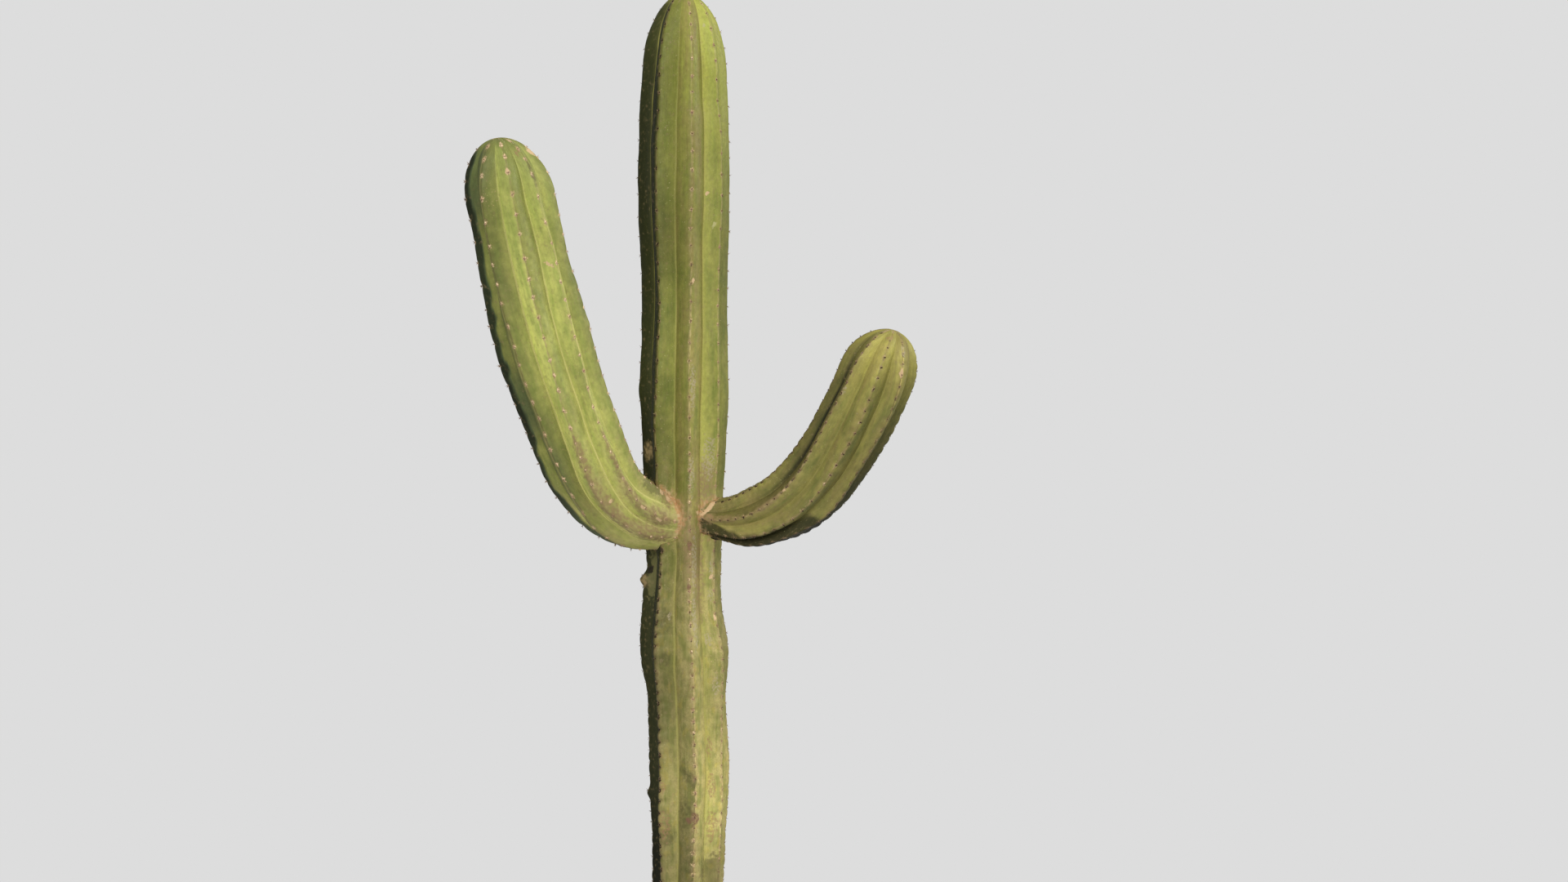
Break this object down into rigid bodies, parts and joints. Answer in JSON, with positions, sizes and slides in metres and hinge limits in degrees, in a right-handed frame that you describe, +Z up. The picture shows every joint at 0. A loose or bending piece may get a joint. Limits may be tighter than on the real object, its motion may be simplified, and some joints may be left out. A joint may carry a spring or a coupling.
{
  "type": "columnar cactus",
  "caption": "Tall ribbed columnar cactus, rooted in the ground, with a long arm on one side and a short one on the other, both bending upwards.",
  "frame": {"origin": "middle of the flat cut under the trunk, at ground level", "axes": "+Z up along the trunk; the front of the plant faces -Y, the long arm is on the -X side and the short arm on the +X side"},
  "size_m": [0.7803, 0.3778, 2.127],
  "materials": {
    "trunk_skin": "satin",
    "left_arm_skin": "satin",
    "right_arm_skin": "satin",
    "areole_wool": "matte",
    "spines": "satin"
  },
  "bodies": {
    "root": {"trunk": "trunk_skin", "left_arm_elbow": "left_arm_skin", "left_arm_upright": "left_arm_skin", "right_arm_elbow": "right_arm_skin", "right_arm_upright": "right_arm_skin"}
  },
  "joints": []
}
